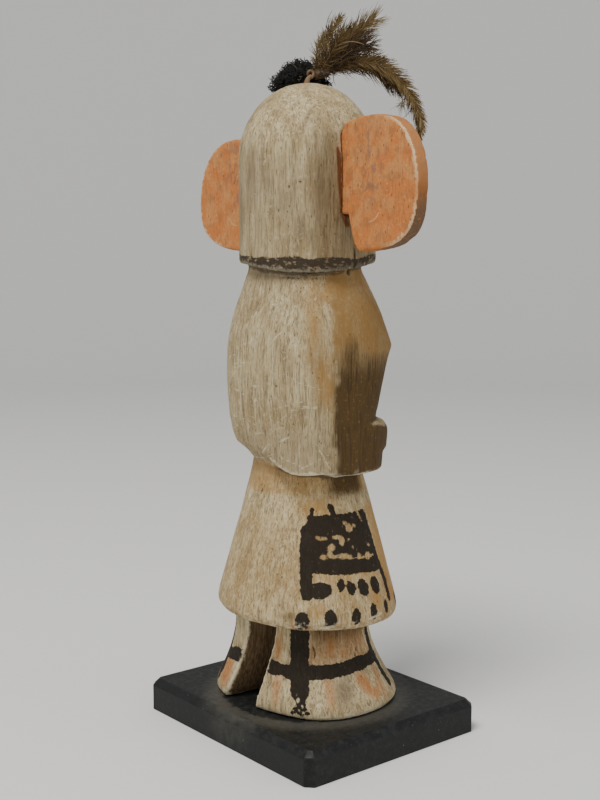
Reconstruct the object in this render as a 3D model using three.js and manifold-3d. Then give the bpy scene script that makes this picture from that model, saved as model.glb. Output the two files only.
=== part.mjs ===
// A carved wooden doll in the Hopi katsina manner: a cylinder-headed figure with two slab ears, arms
// carved against the body, a flared kilt and bell-shaped legs, standing on a bevelled plinth. A tuft of
// black wool and some feathers are tied to the crown. Millimetres, +Z up, the doll faces -Y and its right
// hand is towards -X. The origin is the middle of the plinth's underside.
import * as THREE from 'three';
import { mergeVertices } from 'three/addons/utils/BufferGeometryUtils.js';
import Module from 'manifold-3d';

const wasm = await Module();
wasm.setup();

// ---- Driving dimensions ----------------------------------------------------------------------------

const GAP = 0.3;             // clearance left where one piece rests on or in another
const SIDES = 56;            // facets round the figure

const PLINTH = { width: 121.5, depth: 101.5, height: 15.2, bevel: 3, corner: 1.6 };
const STAND = { x: -3.1, y: 3.6, z: PLINTH.height + GAP };   // where the doll's own axis meets the plinth

const HEAD = { radius: 30.9, rim: 200.5, shoulder: 247, crown: 280, rimDip: 4 };
const EAR = { thickness: 7, back: 5.5, foot: 205.7, inner: 28, edge: 0.8 };
const RIGHT_EAR = { side: -1, reach: 75, top: 262.2 };
const LEFT_EAR = { side: 1, reach: 76.8, top: 258.4 };
const WAIST = 111;
const HEM = { height: 41, dip: 0.05, fade: 30 };
const LEG_TOP = 46;
const FOREARM = { top: 131.4, step: 117, bottom: 107.6 };
const RIGHT_ELBOW = { side: -1, back: 11, slope: 0.3 };    // where the elbow ends behind, at its foot,
const LEFT_ELBOW = { side: 1, back: 3.5, slope: 0.78 };      // and how much further back per mm of height
const LEG_GAP = { left: 7.7, leftFlare: 9.7, right: -8.5, rightFlare: 6.8, turn: -9.5, pivot: [8.5, 32] };

// The feathers lie in upright planes that run from the crown towards the doll's front right.
const PLUME_TURN = THREE.MathUtils.degToRad(230.4);

const COLOURS = {
  figure: 0xb5a384, ear: 0xd08a55, plinth: 0x34373a, wool: 0x15161a, quill: 0xa58a66, feather: 0x7d6237,
};

// ---- Solids ----------------------------------------------------------------------------------------

// Turn a closed three.js geometry into a manifold solid.
function solid(geometry) {
  const bare = geometry.clone();
  bare.deleteAttribute('normal');
  bare.deleteAttribute('uv');
  const merged = mergeVertices(bare, 1e-4);
  return new wasm.Manifold(new wasm.Mesh({
    numProp: 3,
    vertProperties: new Float32Array(merged.attributes.position.array),
    triVerts: new Uint32Array(merged.index.array),
  }));
}

// Turn a manifold solid back into a three.js mesh with a name and a finish.
function piece(name, body, colour, roughness) {
  const mesh = body.getMesh();
  const geometry = new THREE.BufferGeometry();
  geometry.setAttribute('position', new THREE.BufferAttribute(new Float32Array(mesh.vertProperties), 3));
  geometry.setIndex(new THREE.BufferAttribute(new Uint32Array(mesh.triVerts), 1));
  geometry.computeVertexNormals();
  const finish = new THREE.MeshStandardMaterial({ color: colour, roughness, metalness: 0 });
  const result = new THREE.Mesh(geometry, finish);
  result.name = name;
  return result;
}

// Distance from the axis to a rounded-square oval in the direction of an angle. The back half and the
// front half have their own depths.
function ovalRadius(row, angle) {
  const across = Math.abs(Math.cos(angle)) / row.side;
  const depth = Math.abs(Math.sin(angle)) / (Math.sin(angle) > 0 ? row.back : row.front);
  return (across ** row.square + depth ** row.square) ** (-1 / row.square);
}

// A solid of ovals stacked up the axis. shape(row, angle) gives each point's radius and height.
function stacked(rows, shape = (row, angle) => ({ radius: ovalRadius(row, angle), height: row.z })) {
  const last = rows.length - 1;
  const profile = [new THREE.Vector2(0, rows[0].z)];
  rows.forEach((row) => profile.push(new THREE.Vector2(1, row.z)));
  profile.push(new THREE.Vector2(0, rows[last].z));
  const lathe = new THREE.LatheGeometry(profile, SIDES);
  lathe.rotateX(Math.PI / 2);
  const at = lathe.attributes.position;
  for (let i = 0; i < at.count; i += 1) {
    const row = rows[THREE.MathUtils.clamp(i % profile.length - 1, 0, last)];
    const turn = 2 * Math.PI * (Math.floor(i / profile.length) % SIDES) / SIDES;
    const angle = turn - Math.PI / 2;
    const on = Math.hypot(at.getX(i), at.getY(i)) > 0.5 ? 1 : 0;
    const { radius, height } = shape(row, angle);
    const z = on ? height : row.z;
    at.setXYZ(i, on * radius * Math.cos(angle), on * radius * Math.sin(angle), z);
  }
  return solid(lathe);
}

const oval = (z, side, back, front, square) => ({ z, side, back, front, square });

// How far a direction points to the doll's front right, from -1 to 1.
const frontRight = (angle) => -0.637 * Math.cos(angle) - 0.771 * Math.sin(angle);

// ---- The figure ------------------------------------------------------------------------------------

// Legs: a bell that spreads to the feet, fuller at the back of the left leg, parted by a leaning gap.
function legs() {
  const rows = [
    oval(0, 40.2, 31.8, 39.2, 2.2),
    oval(2, 41, 32.5, 40, 2.2),
    oval(5, 40, 32.3, 39, 2.2),
    oval(9, 37.6, 31.7, 36.6, 2.2),
    oval(14, 34.8, 30.8, 33.8, 2.2),
    oval(20, 31.8, 29.8, 31, 2.2),
    oval(26, 29.6, 28.9, 28.8, 2.2),
    oval(32, 28.2, 28.2, 27.4, 2.2),
    oval(LEG_TOP, 27.2, 27.6, 26.4, 2.2),
  ];
  const bell = stacked(rows, (row, angle) => {
    const offset = (angle - Math.PI / 4) / 0.42;
    const swell = 1 + 0.16 * Math.exp(-offset * offset / 2);
    return { radius: ovalRadius(row, angle) * swell, height: row.z };
  });
  return bell.subtract(legGap());
}

// The gap runs from the back to the front, a little askew, and leans with the left leg's flare.
function legGap() {
  const left = (z) => LEG_GAP.left + LEG_GAP.leftFlare * Math.max(0, 1 - z / 38) ** 2;
  const right = (z) => LEG_GAP.right + LEG_GAP.rightFlare * Math.max(0, 1 - z / 38) ** 1.3;
  const heights = [-1, 5, 11, 18, 25, 32, LEG_TOP + 1];
  const outline = new THREE.Shape();
  heights.forEach((z, i) => (i ? outline.lineTo(right(z), z) : outline.moveTo(right(z), z)));
  [...heights].reverse().forEach((z) => outline.lineTo(left(z), z));
  const length = 120;
  const cutter = new THREE.ExtrudeGeometry(outline, { depth: length, bevelEnabled: false });
  cutter.rotateX(Math.PI / 2);
  const [px, py] = LEG_GAP.pivot;
  cutter.translate(-px, length / 2, 0);
  cutter.rotateZ(THREE.MathUtils.degToRad(LEG_GAP.turn));
  const drift = Math.tan(THREE.MathUtils.degToRad(LEG_GAP.turn)) * py;
  cutter.translate(px + drift, 0, 0);
  return solid(cutter);
}

// Kilt: a cone from the waist to a rounded hem that dips towards the front right.
function kilt() {
  const rows = [
    oval(HEM.height, 38, 37.8, 37.6, 2.1),
    oval(42.4, 40.4, 40, 39.8, 2.1),
    oval(45, 41.3, 40.9, 40.7, 2.1),
    oval(49, 40.7, 40.3, 39.8, 2.1),
    oval(61, 37.6, 37.2, 36.4, 2.1),
    oval(75, 33.7, 33.4, 32.5, 2.1),
    oval(90, 29.4, 29.3, 28.6, 2.1),
    oval(102, 26.2, 26.2, 25.2, 2.1),
    oval(108, 24.8, 25, 23.8, 2.1),
    oval(WAIST + 2, 23.8, 24.4, 22.8, 2.1),
  ];
  return stacked(rows, (row, angle) => {
    const radius = ovalRadius(row, angle);
    const near = Math.max(0, 1 - (row.z - HEM.height) / HEM.fade);
    return { radius, height: row.z - HEM.dip * near * radius * frontRight(angle) };
  });
}

// Torso: round-backed, with flat arms at its sides and a chest that falls back above the forearms. It
// draws in sharply to the waist, and does so lower and lower towards the right elbow, which it meets flush.
function torso() {
  const rows = [
    oval(108, 20.5, 24.2, 21.5, 2.1),
    oval(110.8, 20.5, 24.8, 21.5, 2.1),
    oval(113.6, 20.8, 26.2, 21.5, 2.2),
    oval(116.6, 24.5, 28.2, 21.8, 2.3),
    oval(119.5, 30.8, 29.6, 22, 2.7),
    oval(124, 33, 30.6, 22, 2.7),
    oval(131, 34, 31.5, 22.5, 2.8),
    oval(137, 34.5, 31.8, 24.6, 2.8),
    oval(143.5, 34.8, 32.2, 26.6, 2.8),
    oval(150, 35, 32.4, 28.6, 2.8),
    oval(156.5, 35, 32.2, 31, 2.8),
    oval(163.5, 34.8, 32, 34.6, 2.8),
    oval(170, 34.3, 31.4, 32.2, 2.7),
    oval(178, 32.5, 30, 29.6, 2.6),
    oval(184, 30.4, 28.6, 27.4, 2.5),
    oval(190, 28.2, 27.6, 25, 2.3),
    oval(197, 26.2, 26.4, 21.8, 2.1),
    oval(203, 25.6, 25.8, 20, 2.1),
  ];
  const elbow = oval(FOREARM.step, 34.9, 30.6, 29, 2.7);
  return stacked(rows, (row, angle) => {
    const behind = THREE.MathUtils.radToDeg(angle) - 90;
    const low = THREE.MathUtils.smoothstep(behind, -5, 45) * (1 - THREE.MathUtils.smoothstep(behind, 90, 105));
    const radius = ovalRadius(row, angle);
    if (row.z > 140) return { radius, height: row.z };
    const wide = row.z < 118 ? radius : Math.max(radius, ovalRadius(elbow, angle));
    const drawn = FOREARM.bottom + (row.z - rows[0].z) * 0.12;
    const height = row.z < 120 ? THREE.MathUtils.lerp(row.z, drawn, low) : row.z;
    return { radius: THREE.MathUtils.lerp(radius, wide, low), height };
  });
}

// Forearms: a band round the sides and front, bevelled above and stepped in below, cut off on a slant
// behind each elbow, with a notch where the two hands meet.
function forearms() {
  const upper = stacked([
    oval(FOREARM.step, 34.6, 30.4, 32, 2.7),
    oval(124.4, 34.8, 31, 32.7, 2.7),
    oval(127, 34.7, 31.2, 32.2, 2.7),
    oval(129.4, 34.2, 31, 29.8, 2.7),
    oval(FOREARM.top, 32, 28, 25, 2.7),
  ]);
  const lower = stacked([
    oval(FOREARM.bottom, 33, 28.4, 28, 2.7),
    oval(FOREARM.bottom + 1, 33.8, 29.2, 28.9, 2.7),
    oval(FOREARM.step + 0.2, 34.4, 30.3, 29.6, 2.7),
  ]);
  const between = new THREE.CylinderGeometry(4, 4, 40, 4);
  between.scale(0.7, 1, 1);
  between.rotateX(Math.PI / 2);
  between.translate(0, -36.5, FOREARM.step);
  return upper.add(lower)
    .subtract(behindElbow(RIGHT_ELBOW)).subtract(behindElbow(LEFT_ELBOW)).subtract(solid(between));
}

// The space behind one elbow, on its own side of the body.
function behindElbow({ side, back, slope }) {
  const reach = 60;
  const space = new THREE.BoxGeometry(reach, 2 * reach, 2 * reach);
  space.translate(side * reach / 2, reach, 0);
  space.rotateX(-Math.atan(slope));
  space.translate(0, back, FOREARM.bottom);
  return solid(space);
}

// Head: an upright drum under a dome. Its lower edge hangs lowest at the back right.
function head(grow = 0) {
  const rim = HEAD.rim;
  const wide = HEAD.radius + grow;
  const rows = [
    oval(rim - grow, wide - 0.8, wide - 0.8, wide - 0.8, 2),
    oval(rim + 1.2, wide - 0.1, wide - 0.1, wide - 0.1, 2),
    oval(rim + 12, wide, wide, wide, 2),
    oval(HEAD.shoulder, wide, wide, wide, 2),
  ];
  const rise = HEAD.crown - HEAD.shoulder;
  const steps = 11;
  for (let i = 1; i <= steps; i += 1) {
    const lift = i / steps * (Math.PI / 2 - 0.06);
    const r = wide * Math.cos(lift);
    rows.push(oval(HEAD.shoulder + (rise + grow) * Math.sin(lift), r, r, r, 2));
  }
  return stacked(rows, (row, angle) => {
    const near = Math.max(0, 1 - (row.z - rim) / 25);
    const towards = Math.max(0, Math.sin(angle - frontRightAngle - Math.PI));
    return { radius: ovalRadius(row, angle), height: row.z - HEAD.rimDip * near * towards ** 2 };
  });
}
const frontRightAngle = Math.atan2(-0.771, -0.637);

// ---- Ears ------------------------------------------------------------------------------------------

// One ear as an outline in the doll's own side-to-side plane: x grows away from the head.
function earOutline({ side, reach, top }) {
  const p = (x, z) => [side * x, z];
  const outline = new THREE.Shape();
  outline.moveTo(...p(EAR.inner, 221.5));
  outline.lineTo(...p(EAR.inner, top - 7.6));
  outline.lineTo(...p(30.2, top - 2.8));
  outline.bezierCurveTo(...p(33, top - 0.8), ...p(40, top), ...p(49, top));
  outline.bezierCurveTo(...p(66, top), ...p(reach, top - 12), ...p(reach, top - 30));
  outline.bezierCurveTo(...p(reach, 215.5), ...p(69, 208.6), ...p(53, 206.6));
  outline.quadraticCurveTo(...p(46, EAR.foot), ...p(39.5, EAR.foot));
  outline.quadraticCurveTo(...p(36.5, 208), ...p(35.6, 213));
  outline.lineTo(...p(33.2, 221.5));
  return outline;
}

function ear(which, grow = 0) {
  const slab = new THREE.ExtrudeGeometry(earOutline(which), {
    depth: EAR.thickness - 2 * EAR.edge + 2 * grow,
    bevelThickness: EAR.edge,
    bevelSize: EAR.edge,
    bevelOffset: grow - EAR.edge,
    bevelSegments: grow ? 1 : 2,
    curveSegments: 10,
  });
  slab.rotateX(Math.PI / 2);
  slab.translate(0, EAR.back - EAR.edge + grow, 0);
  return solid(slab);
}

// ---- Plinth ----------------------------------------------------------------------------------------

function plinth() {
  const { width, depth, height, bevel, corner } = PLINTH;
  const x = width / 2 - bevel;
  const y = depth / 2 - bevel;
  const outline = new THREE.Shape();
  outline.moveTo(-x + corner, -y);
  outline.lineTo(x - corner, -y);
  outline.lineTo(x, -y + corner);
  outline.lineTo(x, y - corner);
  outline.lineTo(x - corner, y);
  outline.lineTo(-x + corner, y);
  outline.lineTo(-x, y - corner);
  outline.lineTo(-x, -y + corner);
  const block = new THREE.ExtrudeGeometry(outline, {
    depth: height, bevelThickness: bevel, bevelSize: bevel, bevelSegments: 1,
  });
  block.translate(0, 0, -bevel);
  const below = new THREE.BoxGeometry(2 * width, 2 * depth, 2 * bevel);
  below.translate(0, 0, -bevel);
  return solid(block).subtract(solid(below));
}

// ---- Crown: wool, quill and feathers ---------------------------------------------------------------

// Everything on the crown is drawn with x running to the doll's front right, y away to its front left
// and z above the plinth, then turned into place.
function onCrown(geometry) {
  geometry.rotateZ(PLUME_TURN);
  return solid(geometry);
}

function woolTuft() {
  const lump = new THREE.SphereGeometry(1, 16, 10);
  const at = lump.attributes.position;
  for (let i = 0; i < at.count; i += 1) {
    const x = at.getX(i);
    const y = at.getY(i);
    at.setXYZ(i, 10.6 * x, 6.2 * y, 6 * at.getZ(i) - 4.4 * x * x);
  }
  lump.rotateY(-0.3);
  lump.translate(-4.6, 6.2, 282);
  return onCrown(lump).subtract(head(GAP));
}

function quill() {
  const stub = new THREE.CylinderGeometry(1.7, 2.5, 9, 10);
  stub.rotateX(Math.PI / 2);
  stub.rotateY(0.12);
  stub.translate(0.4, -3.4, 282);
  return onCrown(stub).subtract(head(GAP));
}

// A feather as a flat spindle along a spine of [x, z] points, with its half-width at each of them.
function blade(spine, halfWidths, thickness, away) {
  const line = new THREE.SplineCurve(spine.map(([x, z]) => new THREE.Vector2(x, z)));
  const widths = new THREE.SplineCurve(halfWidths.map((w, i) => new THREE.Vector2(i, w)));
  const steps = 14;
  const near = [];
  const far = [];
  for (let i = 0; i <= steps; i += 1) {
    const t = i / steps;
    const point = line.getPoint(t);
    const along = line.getTangent(t);
    const half = widths.getPoint(t).y;
    near.push(new THREE.Vector2(point.x - along.y * half, point.y + along.x * half));
    far.unshift(new THREE.Vector2(point.x + along.y * half, point.y - along.x * half));
  }
  const edge = 0.9;
  const flat = new THREE.ExtrudeGeometry(new THREE.Shape([...near, ...far]), {
    depth: thickness - 2 * edge, bevelThickness: edge, bevelSize: edge, bevelOffset: -edge, bevelSegments: 1,
  });
  flat.rotateX(Math.PI / 2);
  flat.translate(0, away + thickness / 2 - edge, 0);
  return onCrown(flat);
}

function shortFeathers() {
  const left = blade([[4.1, 285], [6, 293], [9.8, 300.5], [14.4, 309.2]], [1.4, 3.6, 4.2, 0.9], 4.6, -2.6);
  const right = blade([[6.6, 285.6], [13.6, 292.8], [20, 300], [27.6, 307.8]], [1.8, 5.2, 5.6, 1.4], 4.6, -3.8);
  return left.add(right);
}

function longFeather() {
  const spine = [[8.8, 286.2], [18, 289.8], [29, 288.6], [39, 282], [46, 273], [49.6, 264], [50.6, 255]];
  return blade(spine, [1.6, 5.4, 5.6, 4.6, 3.8, 2.6, 0.9], 4.6, 2.6);
}

// ---- The doll --------------------------------------------------------------------------------------

const doll = new THREE.Group();
doll.add(piece('plinth', plinth(), COLOURS.plinth, 0.55));

const standing = new THREE.Group();
standing.position.set(STAND.x, STAND.y, STAND.z);
const carved = legs().add(kilt()).add(torso()).add(forearms()).add(head())
  .subtract(ear(RIGHT_EAR, GAP)).subtract(ear(LEFT_EAR, GAP));
standing.add(piece('figure', carved, COLOURS.figure, 0.85));
standing.add(piece('right_ear', ear(RIGHT_EAR), COLOURS.ear, 0.8));
standing.add(piece('left_ear', ear(LEFT_EAR), COLOURS.ear, 0.8));
standing.add(piece('wool_tuft', woolTuft(), COLOURS.wool, 0.95));
standing.add(piece('quill_stub', quill(), COLOURS.quill, 0.7));
standing.add(piece('short_feathers', shortFeathers(), COLOURS.feather, 0.9));
standing.add(piece('long_feather', longFeather(), COLOURS.feather, 0.9));
doll.add(standing);

export default doll;
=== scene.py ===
# The looks of a carved wooden doll in the Hopi katsina manner: carved and worn surfaces, paint, wool and
# feathers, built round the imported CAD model.
import itertools
import math
import random

import bmesh
import bpy
import numpy as np
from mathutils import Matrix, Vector, kdtree


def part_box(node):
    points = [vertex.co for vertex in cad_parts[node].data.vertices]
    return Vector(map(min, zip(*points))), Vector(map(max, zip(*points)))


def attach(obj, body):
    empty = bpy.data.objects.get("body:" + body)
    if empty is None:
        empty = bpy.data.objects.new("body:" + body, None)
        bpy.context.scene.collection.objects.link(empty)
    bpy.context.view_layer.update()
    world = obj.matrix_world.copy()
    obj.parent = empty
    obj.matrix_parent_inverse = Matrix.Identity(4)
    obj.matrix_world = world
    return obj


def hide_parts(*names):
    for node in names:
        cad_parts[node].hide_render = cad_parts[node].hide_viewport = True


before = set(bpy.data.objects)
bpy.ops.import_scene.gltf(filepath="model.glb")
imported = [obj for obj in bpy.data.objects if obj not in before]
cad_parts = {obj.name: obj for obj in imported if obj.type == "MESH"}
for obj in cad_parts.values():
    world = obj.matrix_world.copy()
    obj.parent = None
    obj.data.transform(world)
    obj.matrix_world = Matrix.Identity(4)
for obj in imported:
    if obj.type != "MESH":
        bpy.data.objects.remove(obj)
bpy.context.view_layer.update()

MM = 0.001

# ---- Where things are ------------------------------------------------------------------------------
# The doll is worked on in millimetres from its own axis and the soles of its feet. Its parts are placed by
# turn, in degrees round the axis from its back towards its right hand, and by height.

EAR_BACK = 5.5 * MM          # the ears' back faces stand this far behind the axis
RIGHT_EAR_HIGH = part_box("right_ear")[1]
LEFT_EAR_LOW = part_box("left_ear")[0]
FEET = Vector(((RIGHT_EAR_HIGH.x + LEFT_EAR_LOW.x) / 2, RIGHT_EAR_HIGH.y - EAR_BACK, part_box("figure")[0].z))
PLINTH_LOW, PLINTH_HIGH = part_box("plinth")

HEM = 43                     # the kilt's lower edge
HEM_DIP = 0.05               # how steeply it rises towards the doll's back left
BACK_LEFT = np.array([0.637, 0.771])
HEAD_RIM = 200.5             # the head's lower edge, where it is highest



def mesh_points(mesh):
    """A mesh's vertices in doll millimetres, one row each."""
    flat = np.empty(len(mesh.vertices) * 3)
    mesh.vertices.foreach_get("co", flat)
    return (flat.reshape(-1, 3) - np.array(FEET)) / MM


def set_mesh_points(mesh, points):
    mesh.vertices.foreach_set("co", (points * MM + np.array(FEET)).ravel())
    mesh.update()


def mesh_normals(mesh):
    flat = np.empty(len(mesh.vertices) * 3)
    mesh.vertex_normals.foreach_get("vector", flat)
    return flat.reshape(-1, 3)


# ---- Noise and masks -------------------------------------------------------------------------------

def lattice(cells, seed):
    """A steady random number from 0 to 1 for each whole-number cell."""
    mixed = cells[:, 0] * 73856093 ^ cells[:, 1] * 19349663 ^ cells[:, 2] * 83492791 ^ seed * 2654435761
    mixed = (mixed ^ mixed >> 13) * 1274126177
    return ((mixed ^ mixed >> 16) & 0xFFFF) / 0xFFFF


def ripple(points, size, seed):
    """Smooth noise from -1 to 1, with bumps about size millimetres across."""
    scaled = points / np.array(size)
    cell = np.floor(scaled).astype(np.int64)
    part = scaled - cell
    part = part * part * (3 - 2 * part)
    total = np.zeros(len(points))
    for corner in itertools.product((0, 1), repeat=3):
        weight = np.prod(np.where(corner, part, 1 - part), axis=1)
        total += weight * lattice(cell + np.array(corner), seed)
    return 2 * total - 1


def fade(value, start, end):
    """0 before start, 1 after end, and smooth between; start may be the larger."""
    t = np.clip((value - start) / (end - start), 0, 1)
    return t * t * (3 - 2 * t)


class Skin:
    """The figure's surface: where each point is, by turn and height."""

    def __init__(self, points):
        self.points = points
        self.turn = np.degrees(np.arctan2(-points[:, 0], points[:, 1]))
        self.height = points[:, 2]
        self.radius = np.hypot(points[:, 0], points[:, 1])

    def across(self, turn):
        """Millimetres round the surface from a turn, positive towards the doll's right."""
        away = (self.turn - turn + 180) % 360 - 180
        return np.radians(away) * self.radius

    def blot(self, turn, height, half_width, half_height, lean=0):
        """Signed distance to an oval: negative inside."""
        x = self.across(turn)
        z = self.height - height
        c, s = math.cos(math.radians(lean)), math.sin(math.radians(lean))
        u, v = c * x + s * z, c * z - s * x
        return (np.hypot(u / half_width, v / half_height) - 1) * min(half_width, half_height)

    def stroke(self, route, half_width):
        """Signed distance to a brush stroke along (turn, height) points."""
        nearest = np.full(len(self.turn), 1e3)
        for (turn_a, height_a), (turn_b, height_b) in zip(route, route[1:]):
            length = np.radians((turn_b - turn_a + 180) % 360 - 180) * self.radius
            rise = height_b - height_a
            x, z = self.across(turn_a), self.height - height_a
            t = np.clip((x * length + z * rise) / (length * length + rise * rise), 0, 1)
            nearest = np.minimum(nearest, np.hypot(x - t * length, z - t * rise))
        return nearest - half_width

    def panel(self, turn_from, turn_to, low, high):
        """Signed distance to an upright rectangle."""
        middle = (turn_from + turn_to) / 2
        half = np.radians(turn_to - turn_from) / 2 * self.radius
        x = np.abs(self.across(middle)) - half
        z = np.abs(self.height - (low + high) / 2) - (high - low) / 2
        return np.maximum(x, z)


def union(*distances):
    return np.minimum.reduce(distances)


def soft(distance, width):
    """1 well inside a signed distance and 0 outside, over a width."""
    return fade(distance, width, -width)


def store(mesh, name, values):
    mesh.attributes.new(name, "FLOAT", "POINT").data.foreach_set("value", values.astype(np.float32))


# ---- Meshes ----------------------------------------------------------------------------------------

def settle(piece):
    """Turns a piece's modifiers into its mesh."""
    mesh = bpy.data.meshes.new_from_object(piece.evaluated_get(bpy.context.evaluated_depsgraph_get()))
    piece.modifiers.clear()
    piece.data = mesh


def fine_copy(node, name, voxel, smoothing):
    """A new piece with a CAD node's form in small even faces, its edges a little rounded."""
    piece = bpy.data.objects.new(name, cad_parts[node].data.copy())
    bpy.context.scene.collection.objects.link(piece)
    remesh = piece.modifiers.new("fine", "REMESH")
    remesh.mode = "VOXEL"
    remesh.voxel_size = voxel * MM
    remesh.use_smooth_shade = True
    smooth = piece.modifiers.new("smooth", "SMOOTH")
    smooth.factor = 0.5
    smooth.iterations = smoothing
    settle(piece)
    piece.data.materials.clear()
    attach(piece, "root")
    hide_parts(node)
    return piece


def bulge(mesh, rounds):
    """How far each point stands out from the average of its neighbours, in millimetres."""
    points = mesh_points(mesh)
    ends = np.empty(len(mesh.edges) * 2, np.int64)
    mesh.edges.foreach_get("vertices", ends)
    a, b = ends.reshape(-1, 2).T
    count = np.bincount(a, minlength=len(points)) + np.bincount(b, minlength=len(points))
    average = points.copy()
    for _ in range(rounds):
        total = np.zeros_like(average)
        np.add.at(total, a, average[b])
        np.add.at(total, b, average[a])
        average = total / count[:, None]
    return np.einsum("ij,ij->i", points - average, mesh_normals(mesh))


def new_piece(name, vertices, faces, node):
    """A new piece from vertices in doll millimetres, which replaces a CAD node."""
    mesh = bpy.data.meshes.new(name)
    mesh.from_pydata([(0, 0, 0)] * len(vertices), [], faces)
    set_mesh_points(mesh, np.array(vertices))
    mesh.polygons.foreach_set("use_smooth", [True] * len(mesh.polygons))
    piece = bpy.data.objects.new(name, mesh)
    bpy.context.scene.collection.objects.link(piece)
    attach(piece, "root")
    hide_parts(node)
    return piece


# ---- Materials -------------------------------------------------------------------------------------

class Finish:
    """One material's nodes. Each method adds nodes and returns the socket that gives their result."""

    def __init__(self, name, specular=0.3):
        self.material = bpy.data.materials.new(name)
        self.material.use_nodes = True
        self.nodes = self.material.node_tree.nodes
        self.links = self.material.node_tree.links
        self.shader = self.nodes["Principled BSDF"]
        self.shader.inputs["Specular IOR Level"].default_value = specular
        self.place = self.nodes.new("ShaderNodeTexCoord").outputs["Object"]

    def put(self, value, socket):
        if isinstance(value, bpy.types.NodeSocket):
            self.links.new(value, socket)
        elif socket.type == "RGBA":
            socket.default_value = (*value, 1)
        else:
            socket.default_value = value

    def grid(self, size, stretch=(1, 1, 1), lean=(0, 0, 0), shift=0):
        """Object coordinates counted in features of a size in millimetres, stretched along each axis."""
        mapping = self.nodes.new("ShaderNodeMapping")
        mapping.vector_type = "TEXTURE"
        mapping.inputs["Scale"].default_value = [size * MM * s for s in stretch]
        mapping.inputs["Rotation"].default_value = [math.radians(a) for a in lean]
        mapping.inputs["Location"].default_value = [shift * size * MM] * 3
        self.links.new(self.place, mapping.inputs["Vector"])
        return mapping.outputs["Vector"]

    def noise(self, size, stretch=(1, 1, 1), lean=(0, 0, 0), shift=0, detail=3, roughness=0.55):
        texture = self.nodes.new("ShaderNodeTexNoise")
        texture.inputs["Scale"].default_value = 1
        texture.inputs["Detail"].default_value = detail
        texture.inputs["Roughness"].default_value = roughness
        self.links.new(self.grid(size, stretch, lean, shift), texture.inputs["Vector"])
        return texture.outputs["Fac"]

    def cells(self, size, stretch=(1, 1, 1), shift=0):
        texture = self.nodes.new("ShaderNodeTexVoronoi")
        texture.inputs["Scale"].default_value = 1
        self.links.new(self.grid(size, stretch, shift=shift), texture.inputs["Vector"])
        return texture.outputs["Distance"]

    def field(self, name):
        """A value that the mesh keeps at each of its points."""
        attribute = self.nodes.new("ShaderNodeAttribute")
        attribute.attribute_name = name
        return attribute.outputs["Fac"]

    def sum(self, operation, a, b):
        node = self.nodes.new("ShaderNodeMath")
        node.operation = operation
        self.put(a, node.inputs[0])
        self.put(b, node.inputs[1])
        return node.outputs["Value"]

    def add(self, a, b):
        return self.sum("ADD", a, b)

    def times(self, a, b):
        return self.sum("MULTIPLY", a, b)

    def step(self, value, low, high, start=0.0, end=1.0):
        """Goes from start to end as value goes from low to high."""
        node = self.nodes.new("ShaderNodeMapRange")
        node.interpolation_type = "SMOOTHSTEP"
        for socket, number in zip(list(node.inputs)[1:5], (low, high, start, end)):
            socket.default_value = number
        self.put(value, node.inputs["Value"])
        return node.outputs["Result"]

    def mix(self, factor, a, b):
        node = self.nodes.new("ShaderNodeMix")
        node.data_type = "RGBA"
        self.put(factor, node.inputs["Factor"])
        self.put(a, node.inputs["A"])
        self.put(b, node.inputs["B"])
        return next(s for s in node.outputs if s.type == "RGBA")

    def bump(self, height, depth, onto=None):
        """Raises the surface by up to depth millimetres where height is 1."""
        node = self.nodes.new("ShaderNodeBump")
        node.inputs["Strength"].default_value = 1
        node.inputs["Distance"].default_value = depth * MM
        self.links.new(height, node.inputs["Height"])
        if onto:
            self.links.new(onto, node.inputs["Normal"])
        return node.outputs["Normal"]

    def finish(self, colour, roughness, normal=None):
        self.put(colour, self.shader.inputs["Base Color"])
        self.put(roughness, self.shader.inputs["Roughness"])
        if normal:
            self.links.new(normal, self.shader.inputs["Normal"])
        return self.material


# ---- The figure: carving ---------------------------------------------------------------------------

ELBOW_LINES = [
    [(44, 137), (46, 130), (49, 123.5)],
    [(49, 132.5), (54, 125), (59, 117.5), (64, 110.5)],
]
SIDE_TURN = 70               # where the back meets either side
FOREARM_CREASE = 99
RIM_CRACK = [(91.5, 207), (93, 202), (92.5, 196)]
DEEP_PITS = [
    # turn, height and size
    (27, 148, 0.8), (0, 99.5, 0.9), (44, 235, 0.7), (35, 233, 0.7), (26, 223, 0.7),
]


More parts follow.
